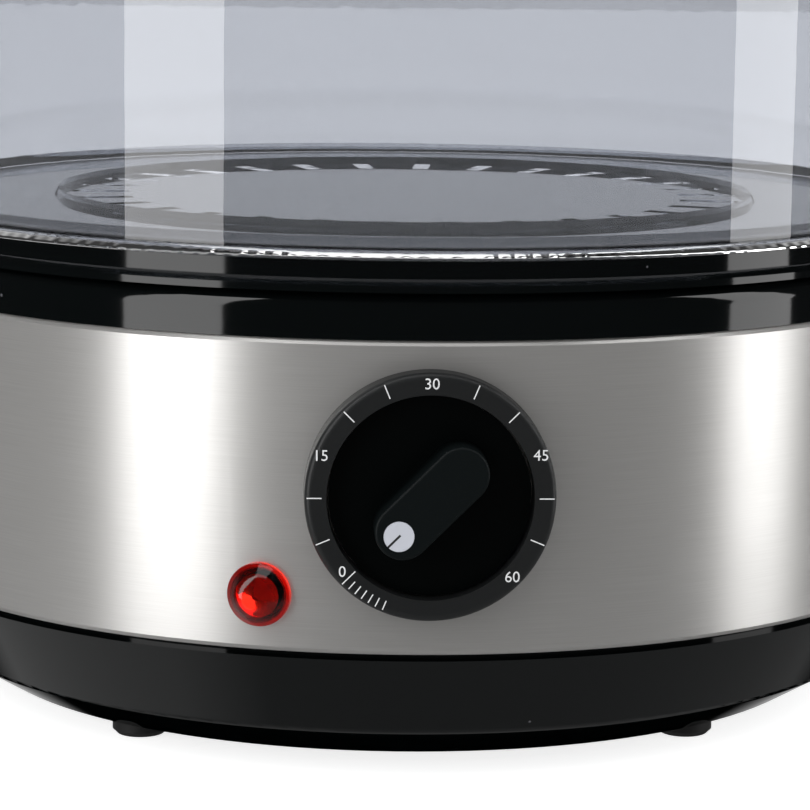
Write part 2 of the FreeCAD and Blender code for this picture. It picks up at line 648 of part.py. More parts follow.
def make_dial_ring():
    """Dial ring: its back is hollowed to the band's curve, and four pegs pass through the band."""
    body = new_body("dial_ring")
    sketch = new_sketch(body, "XY_Plane")
    outline(sketch, [
        ("dial_opening", "-dial_face"),
        ("dial_radius", "-dial_face", "1.4"),
        ("dial_radius", "-(band_radius - 6)"),
        ("dial_opening", "-(band_radius - 6)"),
    ])
    grow(body, "Revolution", sketch)
    sketch = new_sketch(body, "XY_Plane", "-dial_radius - 5")
    circle(sketch, "0", "0", "band_radius + 0.05")
    grow(body, "Pocket", sketch, "2 * dial_radius + 10", reverse=True)
    sketch = new_sketch(body, "XZ_Plane", "band_radius - 4")
    for turn in peg_turns:
        circle(sketch, f"peg_circle * cos({turn})", f"peg_circle * sin({turn})", "peg_radius")
    grow(body, "Pad", sketch, "dial_proud + 2")
    place(body, up="dial_height")
    return body


def grip_outline(sketch, radius, reach):
    """A long rounded outline about the origin, leaning up to the right."""
    lean = math.radians(value("grip_angle"))
    along = FreeCAD.Vector(math.cos(lean), math.sin(lean), 0)
    side = FreeCAD.Vector(-math.sin(lean), math.cos(lean), 0)
    far = value(reach)
    wide = value(radius)
    line_left = sketch.addGeometry(Part.LineSegment(along * far + side * wide, side * wide - along * far), False)
    line_right = sketch.addGeometry(Part.LineSegment(along * -far - side * wide, along * far - side * wide), False)
    ends = []
    for way in (1, -1):
        tip = along * (way * (far + wide))
        start = along * (way * far) - side * (way * wide)
        stop = along * (way * far) + side * (way * wide)
        ends.append(sketch.addGeometry(Part.Arc(start, tip, stop), False))
    upper, lower = ends
    sketch.addConstraint([
        Sketcher.Constraint("Tangent", line_left, 1, upper, 2),
        Sketcher.Constraint("Tangent", line_left, 2, lower, 1),
        Sketcher.Constraint("Tangent", line_right, 1, lower, 2),
        Sketcher.Constraint("Tangent", line_right, 2, upper, 1),
        Sketcher.Constraint("Equal", upper, lower),
    ])
    number = sketch.addConstraint(Sketcher.Constraint("Radius", upper, wide))
    bind(sketch, f"Constraints[{number}]", radius)
    pin_point(sketch, upper, 3, f"({reach}) * cos(grip_angle)", f"({reach}) * sin(grip_angle)")
    pin_point(sketch, lower, 3, f"-({reach}) * cos(grip_angle)", f"-({reach}) * sin(grip_angle)")


def make_knob():
    """Knob: a flat disc inside the dial ring with a long rounded grip across it, a shallow seat for the
    pointer inlay and a D-shaped socket for the timer's shaft."""
    body = turned("knob", [
        ("0", "-disc_face"),
        ("dial_opening - disc_gap", "-disc_face"),
        ("dial_opening - disc_gap", "-disc_back"),
        ("0", "-disc_back"),
    ], axis="Y")
    sketch = new_sketch(body, "XZ_Plane", "disc_face")
    grip_outline(sketch, "grip_radius", "grip_reach")
    grow(body, "Pad", sketch, "grip_height")
    sketch = new_sketch(body, "XZ_Plane", "grip_face - marker_depth")
    circle(sketch, "-marker_reach * cos(grip_angle)", "-marker_reach * sin(grip_angle)", "marker_radius + 0.1")
    grow(body, "Pocket", sketch, "marker_depth + 1", reverse=True)
    sketch = new_sketch(body, "XZ_Plane", "disc_back - 1")
    shaft_outline(sketch, "shaft_radius + turn_gap", "shaft_flat + turn_gap")
    grow(body, "Pocket", sketch, "knob_socket + 1", reverse=True)
    rim = [f"Edge{i}" for i, edge in enumerate(body.Shape.Edges, start=1) if on_grip_rim(edge)]
    last = body.Tip
    fillet = body.newObject("PartDesign::Fillet", "Fillet")
    fillet.Base = (last, rim)
    bind(fillet, "Radius", "grip_round")
    body.Tip = fillet
    doc.recompute()
    place(body, up="dial_height")
    return body


def on_grip_rim(edge):
    """True for the edges round the grip's front face."""
    box = edge.BoundBox
    flat = abs(box.YMin + value("grip_face")) < 1e-4 and abs(box.YMax + value("grip_face")) < 1e-4
    around_marker = hasattr(edge.Curve, "Radius") and abs(edge.Curve.Radius - value("marker_radius + 0.1")) < 1e-4
    return flat and not around_marker


def shaft_outline(sketch, radius, flat):
    """A circle with one flat on its upper side."""
    wide = value(radius)
    level = value(flat)
    half = math.sqrt(wide * wide - level * level)
    arc = sketch.addGeometry(Part.Arc(FreeCAD.Vector(-half, level, 0), FreeCAD.Vector(0, -wide, 0),
                                      FreeCAD.Vector(half, level, 0)), False)
    line = sketch.addGeometry(Part.LineSegment(FreeCAD.Vector(half, level, 0), FreeCAD.Vector(-half, level, 0)),
                              False)
    sketch.addConstraint([
        Sketcher.Constraint("Coincident", arc, 2, line, 1),
        Sketcher.Constraint("Coincident", arc, 1, line, 2),
        Sketcher.Constraint("Horizontal", line),
        Sketcher.Constraint("Coincident", arc, 3, -1, 1),
    ])
    for kind, geometry, formula in (("Radius", (arc,), radius), ("DistanceY", (-1, 1, line, 1), flat)):
        number = sketch.addConstraint(Sketcher.Constraint(kind, *geometry, value(formula)))
        bind(sketch, f"Constraints[{number}]", formula)


def make_timer_shaft():
    body = new_body("timer_shaft")
    sketch = new_sketch(body, "XZ_Plane", "cover_back")
    shaft_outline(sketch, "shaft_radius", "shaft_flat")
    grow(body, "Pad", sketch, "disc_back + knob_socket - 0.3 - cover_back")
    place(body, up="dial_height")
    return body


def make_knob_marker():
    """Pale inlay that shows which way the knob points."""
    body = new_body("knob_marker")
    sketch = new_sketch(body, "XZ_Plane", "grip_face - marker_depth")
    circle(sketch, "-marker_reach * cos(grip_angle)", "-marker_reach * sin(grip_angle)", "marker_radius")
    grow(body, "Pad", sketch, "marker_depth")
    place(body, up="dial_height")
    return body


def make_timer_cover():
    """Timer's front plate, with the shaft's bearing hole and two screw holes."""
    body = new_body("timer_cover")
    sketch = new_sketch(body, "XZ_Plane", "cover_back")
    box_outline(sketch, "-cover_width / 2", "cover_width / 2", "-cover_tall / 2", "cover_tall / 2", "2")
    circle(sketch, "0", "0", "shaft_radius + turn_gap")
    for side in ("-", ""):
        circle(sketch, f"{side}timer_screw_reach", "0", "screw_radius + screw_gap")
    grow(body, "Pad", sketch, "cover_thickness")
    place(body, up="dial_height")
    return body


def make_timer_case():
    """Closed case of the clockwork timer, with the post that carries its bell."""
    body = new_body("timer_case")
    sketch = new_sketch(body, "XZ_Plane", "case_back")
    box_outline(sketch, "-timer_width / 2", "timer_width / 2", "-timer_tall / 2", "timer_tall / 2", "3")
    grow(body, "Pad", sketch, "timer_depth")
    sketch = new_sketch(body, "XZ_Plane", "cover_back - timer_screw_bore")
    for side in ("-", ""):
        circle(sketch, f"{side}timer_screw_reach", "0", "screw_radius + screw_gap")
    grow(body, "Pocket", sketch, "timer_screw_bore + 1", reverse=True)
    sketch = new_sketch(body, "XZ_Plane", "bell_back - 1")
    circle(sketch, "0", "0", "bell_post")
    grow(body, "Pad", sketch, "bell_depth + 2")
    place(body, up="dial_height")
    return body


def make_timer_bell():
    """Cup-shaped bell on the post behind the timer's case."""
    body = turned("timer_bell", [
        ("bell_post + seat_gap", "-bell_back"),
        ("bell_radius - bell_bevel", "-bell_back"),
        ("bell_radius", "-(bell_back + bell_bevel)"),
        ("bell_radius", "-(case_back - 1)"),
        ("bell_radius - bell_wall", "-(case_back - 1)"),
        ("bell_radius - bell_wall", "-(bell_back + bell_bevel + bell_wall / 2)"),
        ("bell_radius - bell_bevel - bell_wall / 2", "-(bell_back + bell_wall)"),
        ("bell_post + seat_gap", "-(bell_back + bell_wall)"),
    ], axis="Y")
    place(body, up="dial_height")
    return body


def make_timer_screws():
    """Two screws through the band into the timer, hidden behind the knob's disc."""
    screws = []
    for number, side in enumerate(("-", ""), start=1):
        screw = make_screw(f"timer_screw_{number}", "screw_head", "timer_screw_head", "screw_radius",
                           "timer_screw_length")
        screw.Placement.Rotation = FreeCAD.Rotation(FreeCAD.Vector(1, 0, 0), -90)
        place(screw, f"{side}timer_screw_reach", "-sqrt(band_radius ^ 2 - (timer_screw_reach - screw_head) ^ 2)",
              "dial_height")
        screws.append(screw)
    return grouped("timer_screws", screws)


# Lamp, to the left of the dial.

def make_lamp_lens():
    """Red lens: a domed head in front of the band and a hollow neck through it."""
    face = "band_radius + 0.05"
    body = turned("lamp_lens", [
        ("0", f"-({face} + lens_rise)"),
        ("lens_radius * 0.55", f"-({face} + lens_rise)", "3"),
        ("lens_radius", f"-({face} + 1.2)", "0.6"),
        ("lens_radius", f"-({face})"),
        ("lens_neck", f"-({face})"),
        ("lens_neck", f"-({face} - neck_length)"),
        ("lens_neck - lens_wall", f"-({face} - neck_length)"),
        ("lens_neck - lens_wall", f"-({face} + 1)"),
        ("0", f"-({face} + lens_rise - 1.2)"),
    ], axis="Y")
    place(body, up="lamp_height", turn="-lamp_turn")
    return body


def make_lamp_bulb():
    """Neon bulb inside the lens's neck."""
    body = turned("lamp_bulb", [
        ("0", "-(band_radius + 0.4)"),
        ("bulb_radius", "-(band_radius - 1.5)"),
        ("bulb_radius", "-(band_radius - neck_length - 1)"),
        ("0", "-(band_radius - neck_length - 1)"),
    ], axis="Y")
    place(body, up="lamp_height", turn="-lamp_turn")
    return body


def make_lamp_holder():
    """Push-on cap that holds the bulb in the lens and the lens in the band."""
    tail = "band_radius - neck_length - 1.2"
    inside = "lens_neck + holder_fit"
    body = turned("lamp_holder", [
        (inside, "-(band_inside - 0.4)"),
        (f"{inside} + holder_wall", "-(band_inside - 0.4)"),
        (f"{inside} + holder_wall", f"-({tail} - 1.8)"),
        ("0", f"-({tail} - 1.8)"),
        ("0", f"-({tail})"),
        (inside, f"-({tail})"),
    ], axis="Y")
    place(body, up="lamp_height", turn="-lamp_turn")
    return body


# Mains side: the cord's bush and the terminal block.

def make_cord_bush():
    """Rubber bush in the pan's rear boss, where the mains cord comes in."""
    body = turned("cord_bush", [
        ("bush_bore", "pan_turn - pan_wall - 1.5"),
        ("bush_radius", "pan_turn - pan_wall - 1.5"),
        ("bush_radius", "cord_face"),
        ("bush_radius + 2.5", "cord_face"),
        ("bush_radius + 1.5", "cord_face + bush_head"),
        ("bush_bore", "cord_face + bush_head"),
    ], axis="Y")
    place(body, up="cord_height")
    return body


def make_terminal_block():
    """Three-way terminal block on the pan's floor, with its wire holes."""
    body = new_body("terminal_block")
    sketch = new_sketch(body, "XY_Plane", "pan_floor")
    box_outline(sketch, "block_aside", "block_aside + block_length",
                "pan_flat - block_inset - block_depth", "pan_flat - block_inset", "1.5")
    grow(body, "Pad", sketch, "block_depth")
    sketch = new_sketch(body, "XZ_Plane", "-(pan_flat - block_inset + 1)")
    for share in ("0.2", "0.5", "0.8"):
        circle(sketch, f"block_aside + {share} * block_length", "pan_floor + 5", "block_bore")
    grow(body, "Pocket", sketch, "block_depth + 2", reverse=True)
    return body


# Lift-out pieces: steam ring, drip tray, bowls and lid.

def make_steam_ring():
    """Open ring that stands in the water round the heater, with arches at its foot."""
    body = turned("steam_ring", [
        ("ring_radius - ring_wall", "tank_floor"),
        ("ring_radius", "tank_floor"),
        ("ring_radius", "tank_floor + ring_height"),
        ("ring_radius - ring_wall - ring_turn", "tank_floor + ring_height"),
        ("ring_radius - ring_wall - ring_turn", "tank_floor + ring_height - ring_wall"),
        ("ring_radius - ring_wall", "tank_floor + ring_height - ring_wall"),
    ])
    sketch = new_sketch(body, "XZ_Plane", "ring_radius - 10")
    outline(sketch, [
        ("-arch_width / 2", "tank_floor"),
        ("arch_width / 2", "tank_floor"),
        ("arch_width / 3", "tank_floor + arch_height"),
        ("-arch_width / 3", "tank_floor + arch_height"),
    ])
    arch = grow(body, "Pocket", sketch, "12", reverse=True)
    spread(body, arch, 6)
    return body


def make_drip_tray():
    """Black drip tray: the lip that shows above the collar, a dish, and an open chimney for the steam."""
    under = "collar_top - tray_depth"
    return turned("drip_tray", [
        ("tank_mouth - 0.6", "collar_top"),
        ("lip_flange", "collar_top"),
        ("lip_flange", "collar_top + lip_step - lip_bevel"),
        ("lip_flange - lip_bevel", "collar_top + lip_step"),
        ("lip_radius", "collar_top + lip_step"),
        ("lip_radius", "lip_top"),
        ("lip_inside", "lip_top"),
        ("lip_inside", "collar_top + lip_step"),
        ("tank_mouth - 2.8", "collar_top + lip_step"),
        ("tank_mouth - 5.4", f"{under} + tray_wall"),
        ("chimney_radius", f"{under} + tray_wall + 1.5"),
        ("chimney_radius", f"{under} + chimney_height"),
        ("chimney_radius - tray_wall", f"{under} + chimney_height"),
        ("chimney_radius - tray_wall", under),
        ("tank_mouth - 3.4", under),
    ])


def make_bowl_floor(label, level):
    """Clear floor with a flared edge, a locating rib and skirt, a raised bead and a ring of steam slots."""
    top = f"{level} + floor_thickness"
    body = turned(label, [
        ("0", level),
        ("skirt_radius - 1.6", level),
        ("skirt_radius - 1.6", f"{level} - floor_skirt"),
        ("skirt_radius", f"{level} - floor_skirt"),
        ("skirt_radius", level),
        ("floor_edge_radius", level),
        ("floor_edge_radius - floor_flare", top),
        ("bowl_inside - seat_gap", top),
        ("bowl_inside - seat_gap - 1", f"{top} + floor_rib"),
        ("bowl_inside - seat_gap - 2", f"{top} + floor_rib"),
        ("bowl_inside - seat_gap - 2", top),
        ("bead_radius + bead_size / 2", top),
        ("bead_radius", f"{top} + bead_size"),
        ("bead_radius - bead_size / 2", top),
        ("0", top),
    ])
    sketch = new_sketch(body, "XY_Plane", level)
    box_outline(sketch, "slot_inner", "slot_inner + slot_length", "-slot_width / 2", "slot_width / 2")
    slot = grow(body, "Pocket", sketch, "floor_thickness + 1", reverse=True)
    spread(body, slot, round(value("slot_count")))
    return body


def make_bowl_wall(label, level):
    """Clear bowl wall with a rim that carries the next piece up."""
    top = f"{level} + bowl_height"
    return turned(label, [
        ("bowl_inside", level),
        ("bowl_radius", level),
        ("bowl_radius", f"{top} - rim_height"),
        ("bowl_radius + rim_width", f"{top} - rim_height"),
        ("bowl_radius + rim_width", top),
        ("bowl_inside", top),
    ])


def make_lid():
    """Clear lid: a flange on the bowl's rim, a skirt inside it, a low dome and four steam vents."""
    crown = "lid_seat + lid_rise + lid_crown"
    body = turned("lid", [
        ("skirt_radius - lid_wall", "lid_seat - lid_skirt"),
        ("skirt_radius", "lid_seat - lid_skirt"),
        ("skirt_radius", "lid_seat"),
        ("bowl_radius + rim_width", "lid_seat"),
        ("bowl_radius + rim_width", "lid_seat + lid_wall"),
        ("skirt_radius + 1", "lid_seat + lid_wall"),
        ("lid_shoulder", "lid_seat + lid_rise", "lid_shoulder_round"),
        ("handle_neck + handle_flare + 1", crown),
        ("screw_radius + 2 * seat_gap", crown),
        ("screw_radius + 2 * seat_gap", f"{crown} - lid_wall"),
        ("handle_neck + handle_flare + 1", f"{crown} - lid_wall"),
        ("lid_shoulder - 1", "lid_seat + lid_rise - lid_wall", "lid_shoulder_round - lid_wall"),
        ("skirt_radius - lid_wall", "lid_seat"),
    ])
    sketch = new_sketch(body, "XY_Plane", "lid_seat")
    circle(sketch, "lid_shoulder * 0.55", "0", "vent_radius")
    vent = grow(body, "Pocket", sketch, "lid_rise + 10", reverse=True)
    spread(body, vent, 4)
    return body


def make_lid_handle():
    """Black handle on the lid: a waisted post under a rounded cap, with a hole for its screw."""
    seat = "lid_seat + lid_rise + lid_crown"
    return turned("lid_handle", [
        ("screw_radius + screw_gap", seat),
        ("handle_neck + handle_flare", seat),
        ("handle_neck", f"{seat} + 4", "3"),
        ("handle_neck", f"{seat} + handle_height - handle_cap - 2"),
        ("handle_radius", f"{seat} + handle_height - handle_cap"),
        ("handle_radius", f"{seat} + handle_height - 3", "2"),
        ("0", f"{seat} + handle_height"),
        ("0", f"{seat} + lid_screw_length"),
        ("screw_radius + screw_gap", f"{seat} + lid_screw_length"),
    ])


def make_lid_screw():
    """Screw and washer face that hold the handle from inside the lid."""
    screw = make_screw("lid_screw", "lid_screw_head", "lid_screw_head_height", "screw_radius", "lid_screw_length")
    place(screw, up="lid_seat + lid_rise + lid_crown - lid_wall")
    return screw


def build():
    """Every sub-part, in the order they go together."""
    fill_sheet()
    parts = [
        make_lower_housing(),
        make_feet(),
        make_housing_screws(),
        make_steel_band(),
        make_water_tank(),
        make_heater_plate(),
        make_heater_gasket(),
        make_heater_clamp(),
        make_heating_element(),
        make_thermostat(),
        make_dial_ring(),
        make_knob(),
        make_timer_shaft(),
        make_knob_marker(),
        make_timer_cover(),
        make_timer_case(),
        make_timer_bell(),
        make_timer_screws(),
        make_lamp_lens(),
        make_lamp_bulb(),
        make_lamp_holder(),
        make_cord_bush(),
        make_terminal_block(),
        make_steam_ring(),
        make_drip_tray(),
        make_bowl_floor("lower_bowl_floor", "lip_top"),
        make_bowl_wall("lower_bowl_wall", "lip_top + floor_thickness"),
        make_bowl_floor("upper_bowl_floor", "lip_top + tier_height"),
        make_bowl_wall("upper_bowl_wall", "lip_top + tier_height + floor_thickness"),
        make_lid(),
        make_lid_handle(),
        make_lid_screw(),
    ]
    doc.recompute()
    return parts


def check(parts):
    """Stop before anything is written if a feature failed or a solid isn't sound."""
    for item in doc.Objects:
        if {"Invalid", "Error"} & set(item.State):
            raise RuntimeError(f"{item.Label} failed: {item.State}")
        if item.TypeId == "Sketcher::SketchObject" and not item.FullyConstrained:
            raise RuntimeError(f"{item.getParentGeoFeatureGroup().Label}: a sketch isn't fully constrained")
    for part in parts:
        if part.Shape.isNull() or not part.Shape.isValid() or not part.Shape.Solids:
            raise RuntimeError(f"{part.Label} has no sound shape")


def write(parts):
    os.makedirs("parts", exist_ok=True)
    for part in parts:
        part.Shape.exportStep(f"parts/{part.Label}.step")
        print(f"{part.Label}: {len(part.Shape.Solids)} solid(s), {part.Shape.Volume / 1000:.2f} cm3")


all_parts = build()
check(all_parts)
write(all_parts)
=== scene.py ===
import json
import math

import bpy
import numpy as np
from mathutils import Matrix, Vector


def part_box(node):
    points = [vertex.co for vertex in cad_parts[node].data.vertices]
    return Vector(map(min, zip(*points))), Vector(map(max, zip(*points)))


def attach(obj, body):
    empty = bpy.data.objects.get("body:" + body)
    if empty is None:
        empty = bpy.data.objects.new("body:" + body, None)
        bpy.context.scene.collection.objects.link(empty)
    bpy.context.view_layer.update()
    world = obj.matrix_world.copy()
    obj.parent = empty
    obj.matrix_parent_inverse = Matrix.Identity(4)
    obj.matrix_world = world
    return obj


# Electric food steamer: finishes, printed dial scale and fluted bowl edges round the CAD frame.
# Everything is in metres, +Z up, the dial faces -Y.

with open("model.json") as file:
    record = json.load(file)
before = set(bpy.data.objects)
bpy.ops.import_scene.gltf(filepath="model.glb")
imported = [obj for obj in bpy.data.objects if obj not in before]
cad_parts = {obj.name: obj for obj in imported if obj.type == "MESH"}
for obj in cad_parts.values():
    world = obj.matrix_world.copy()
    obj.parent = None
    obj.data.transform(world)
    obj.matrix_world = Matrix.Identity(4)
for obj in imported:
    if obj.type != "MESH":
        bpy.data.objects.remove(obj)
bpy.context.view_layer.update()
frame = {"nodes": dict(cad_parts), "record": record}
nodes = frame["nodes"]
print("frame loaded", len(nodes), "nodes")


# Meshes: grids of points worked out with numpy.

def meshFromGrid(name, points, closedAcross, closedAlong, smooth=True):
    # points is rows x columns x 3; neighbours on the grid become quads, and a closed direction joins its ends
    rows, columns = points.shape[:2]
    rowCount = rows if closedAcross else rows - 1
    columnCount = columns if closedAlong else columns - 1
    i, j = np.meshgrid(np.arange(rowCount), np.arange(columnCount), indexing="ij")
    nextI = (i + 1) % rows
    nextJ = (j + 1) % columns
    corners = [i * columns + j, nextI * columns + j, nextI * columns + nextJ, i * columns + nextJ]
    quads = np.stack(corners, axis=-1)
    return meshFromArrays(name, points.reshape(-1, 3), quads.reshape(-1, 4), smooth)


def meshFromArrays(name, points, quads, smooth):
    mesh = bpy.data.meshes.new(name)
    mesh.from_pydata(points.tolist(), [], quads.tolist())
    mesh.polygons.foreach_set("use_smooth", np.full(len(mesh.polygons), smooth))
    mesh.update()
    piece = bpy.data.objects.new(name, mesh)
    bpy.context.scene.collection.objects.link(piece)
    return piece


# Shader tools.

noiseSpread = (0.3, 0.7)     # where most of a noise's values lie


def addNode(tree, kind, **settings):
    node = tree.nodes.new(kind)
    for key, setting in settings.items():
        setattr(node, key, setting)
    return node


def setInput(tree, node, socket, source):
    # a source is a plain value or another node's output
    target = node.inputs[socket]
    if isinstance(source, bpy.types.NodeSocket):
        tree.links.new(source, target)
    else:
        target.default_value = source


def mathNode(tree, operation, first, second=None):
    node = addNode(tree, "ShaderNodeMath", operation=operation)
    setInput(tree, node, 0, first)
    if second is not None:
        setInput(tree, node, 1, second)
    return node.outputs[0]


def mapRange(tree, source, low, high, newLow, newHigh):
    node = addNode(tree, "ShaderNodeMapRange", clamp=True)
    for socket, entry in enumerate((source, low, high, newLow, newHigh)):
        setInput(tree, node, socket, entry)
    return node.outputs[0]


def mixColour(tree, factor, first, second):
    # inputs 6 and 7 and output 2 are the Mix node's colour sockets
    node = addNode(tree, "ShaderNodeMix", data_type="RGBA")
    setInput(tree, node, "Factor", factor)
    for socket, colour in ((6, first), (7, second)):
        if isinstance(colour, bpy.types.NodeSocket):
            tree.links.new(colour, node.inputs[socket])
        else:
            node.inputs[socket].default_value = (*colour, 1)
    return node.outputs[2]


def objectPlace(tree):
    return addNode(tree, "ShaderNodeTexCoord").outputs["Object"]


def splitVector(tree, source):
    node = addNode(tree, "ShaderNodeSeparateXYZ")
    setInput(tree, node, 0, source)
    return node.outputs


def shaded(colour, share):
    return tuple(share * part for part in colour)


def newGroup(name, inputs, outputs):
    group = bpy.data.node_groups.new(name, "ShaderNodeTree")
    for label, start in inputs:
        socket = group.interface.new_socket(label, in_out="INPUT", socket_type="NodeSocketFloat")
        socket.default_value = start
    for label in outputs:
        group.interface.new_socket(label, in_out="OUTPUT", socket_type="NodeSocketFloat")
    return group, addNode(group, "NodeGroupInput"), addNode(group, "NodeGroupOutput")


def noiseInto(group, result, output, place, scale, detail):
    noise = addNode(group, "ShaderNodeTexNoise")
    setInput(group, noise, "Vector", place)
    setInput(group, noise, "Scale", scale)
    setInput(group, noise, "Detail", detail)
    setInput(group, result, output, noise.outputs["Fac"])


skinLook = {"broad": 25, "fine": 1500, "broadDetail": 3, "fineDetail": 2}


def moldedSkin(look):
    # two noises over the piece: a broad one for tone and gloss, a fine one for the mould's texture
    inputs = [("Broad Scale", look["broad"]), ("Fine Scale", look["fine"])]
    group, given, result = newGroup("moldedSkin", inputs, ["Tone", "Height"])
    place = objectPlace(group)
    noiseInto(group, result, "Tone", place, given.outputs["Broad Scale"], look["broadDetail"])
    noiseInto(group, result, "Height", place, given.outputs["Fine Scale"], look["fineDetail"])
    return group


linesLook = {"around": 5, "up": 4000, "cloudAround": 3, "cloudUp": 60, "detail": 4}


def brushedLines(look):
    # fine lines that run round the Z axis: noise read at (angle round the axis, height), stretched along the
    # angle, and a broad cloud read the same way
    inputs = [("Around", look["around"]), ("Up", look["up"])]
    group, given, result = newGroup("brushedLines", inputs, ["Lines", "Cloud"])
    split = splitVector(group, objectPlace(group))
    front = mathNode(group, "MULTIPLY", split["Y"], -1)
    angle = mathNode(group, "ARCTAN2", split["X"], front)
    stretches = (("Lines", given.outputs["Around"], given.outputs["Up"]),
                 ("Cloud", look["cloudAround"], look["cloudUp"]))
    for output, around, up in stretches:
        join = addNode(group, "ShaderNodeCombineXYZ")
        setInput(group, join, 0, mathNode(group, "MULTIPLY", angle, around))
        setInput(group, join, 2, mathNode(group, "MULTIPLY", split["Z"], up))
        noiseInto(group, result, output, join.outputs[0], 1, look["detail"])
    return group


dustLook = {"scale": 420, "share": 0.02, "speckSize": 0.13}


def fineDust(look):
    # sparse round specks: the nearest-point distance of a fine cell pattern, kept only in a few cells
    inputs = [("Specks Scale", look["scale"]), ("Share", look["share"])]
    group, given, result = newGroup("fineDust", inputs, ["Specks"])
    cells = addNode(group, "ShaderNodeTexVoronoi")
    setInput(group, cells, "Vector", objectPlace(group))
    setInput(group, cells, "Scale", given.outputs["Specks Scale"])
    pick = addNode(group, "ShaderNodeSeparateColor")
    setInput(group, pick, 0, cells.outputs["Color"])
    chosen = mathNode(group, "LESS_THAN", pick.outputs[0], given.outputs["Share"])
    small = mathNode(group, "LESS_THAN", cells.outputs["Distance"], look["speckSize"])
    setInput(group, result, "Specks", mathNode(group, "MULTIPLY", chosen, small))
    return group


groups = {
    "moldedSkin": moldedSkin(skinLook),
    "brushedLines": brushedLines(linesLook),
    "fineDust": fineDust(dustLook),
}


def useGroup(tree, name, **values):
    node = addNode(tree, "ShaderNodeGroup", node_tree=groups[name])
    for label, entry in values.items():
        node.inputs[label.replace("_", " ")].default_value = entry
    return node


def newMaterial(name, roughness, **plain):
    material = bpy.data.materials.new(name)
    material.use_nodes = True
    shader = material.node_tree.nodes["Principled BSDF"]
    shader.inputs["Roughness"].default_value = roughness
    for label, entry in plain.items():
        shader.inputs[label.replace("_", " ")].default_value = entry
    return material, material.node_tree, shader


def bumpFrom(tree, shader, height, look):
    bump = addNode(tree, "ShaderNodeBump")
    setInput(tree, bump, "Strength", look["bump"])
    setInput(tree, bump, "Distance", look["depth"])
    setInput(tree, bump, "Height", height)
    setInput(tree, shader, "Normal", bump.outputs[0])


def glossFrom(tree, shader, source, gloss):
    setInput(tree, shader, "Roughness", mapRange(tree, source, *noiseSpread, *gloss))


def dusted(tree, tone, look):
    specks = useGroup(tree, "fineDust", Share=look["dust"]).outputs["Specks"]
    return mixColour(tree, specks, tone, look["dustColour"])


plasticBasis = {"specular": 0.5, "broad": 25, "fine": 1500, "bump": 0.05, "depth": 0.0001, "dust": 0}


def moldedPlastic(name, given):
    # moulded plastic or rubber: colour between two tones, uneven gloss, fine mould texture, a little dust
    look = {**plasticBasis, **given}
    material, tree, shader = newMaterial(name, look["gloss"][0], Specular_IOR_Level=look["specular"])
    skin = useGroup(tree, "moldedSkin", Broad_Scale=look["broad"], Fine_Scale=look["fine"])
    tone = mixColour(tree, skin.outputs["Tone"], look["dark"], look["light"])
    if look["dust"]:
        tone = dusted(tree, tone, look)
    setInput(tree, shader, "Base Color", tone)
    glossFrom(tree, shader, skin.outputs["Tone"], look["gloss"])
    bumpFrom(tree, shader, skin.outputs["Height"], look)
    return material


metalBasis = {"broad": 60, "fine": 900, "bump": 0.1, "depth": 0.0001}


def metal(name, given):
    # plain plated, cast or pressed metal
    look = {**metalBasis, **given}
    material, tree, shader = newMaterial(name, look["gloss"][0], Metallic=1.0)
    skin = useGroup(tree, "moldedSkin", Broad_Scale=look["broad"], Fine_Scale=look["fine"])
    setInput(tree, shader, "Base Color", mixColour(tree, skin.outputs["Tone"], look["dark"], look["light"]))
    glossFrom(tree, shader, skin.outputs["Tone"], look["gloss"])
    bumpFrom(tree, shader, skin.outputs["Height"], look)
    return material


steelLook = {
    "dark": (0.60, 0.59, 0.575), "light": (0.65, 0.64, 0.625),   # colour in and between the brush lines
    "gloss": (0.31, 0.37), "around": 7, "up": 5200,               # line length and fineness
    "linesShare": 0.6, "cloudShare": 0.4,                         # lines and broad cloud in the gloss
    "anisotropic": 0.55, "turned": 0.25, "metallic": 0.74,
    "bump": 0.03, "depth": 0.00002,
}


def brushedSteel(look):
    material, tree, shader = newMaterial("brushedSteel", look["gloss"][0], Metallic=look["metallic"],
                                         Anisotropic=look["anisotropic"], Anisotropic_Rotation=look["turned"])
    brushed = useGroup(tree, "brushedLines", Around=look["around"], Up=look["up"])
    lines = brushed.outputs["Lines"]
    between = mapRange(tree, lines, *noiseSpread, 0, 1)
    setInput(tree, shader, "Base Color", mixColour(tree, between, look["dark"], look["light"]))
    mixed = mathNode(tree, "ADD", mathNode(tree, "MULTIPLY", lines, look["linesShare"]),
                     mathNode(tree, "MULTIPLY", brushed.outputs["Cloud"], look["cloudShare"]))
    glossFrom(tree, shader, mixed, look["gloss"])
    tangent = addNode(tree, "ShaderNodeTangent", direction_type="RADIAL", axis="Z")
    setInput(tree, shader, "Tangent", tangent.outputs[0])
    bumpFrom(tree, shader, lines, look)
    return material


clearBasis = {"broad": 18, "fine": 90, "bump": 0.02, "depth": 0.0004}
clearLook = {
    "tint": (0.62, 0.635, 0.67), "tintDeep": (0.60, 0.615, 0.65),
    "roughness": 0.012, "ior": 1.58, "shadow": 0.25,              # how much of a shadow the clear walls cast
}


def clearPlastic(name, given):
    look = {**clearBasis, **given}
    material, tree, shader = newMaterial(name, look["roughness"], IOR=look["ior"], Transmission_Weight=1.0)
    skin = useGroup(tree, "moldedSkin", Broad_Scale=look["broad"], Fine_Scale=look["fine"])
    setInput(tree, shader, "Base Color", mixColour(tree, skin.outputs["Tone"], look["tint"], look["tintDeep"]))
    bumpFrom(tree, shader, skin.outputs["Height"], look)
    path = addNode(tree, "ShaderNodeLightPath")
    setInput(tree, shader, "Alpha", mapRange(tree, path.outputs["Is Shadow Ray"], 0, 1, 1, look["shadow"]))
    return material


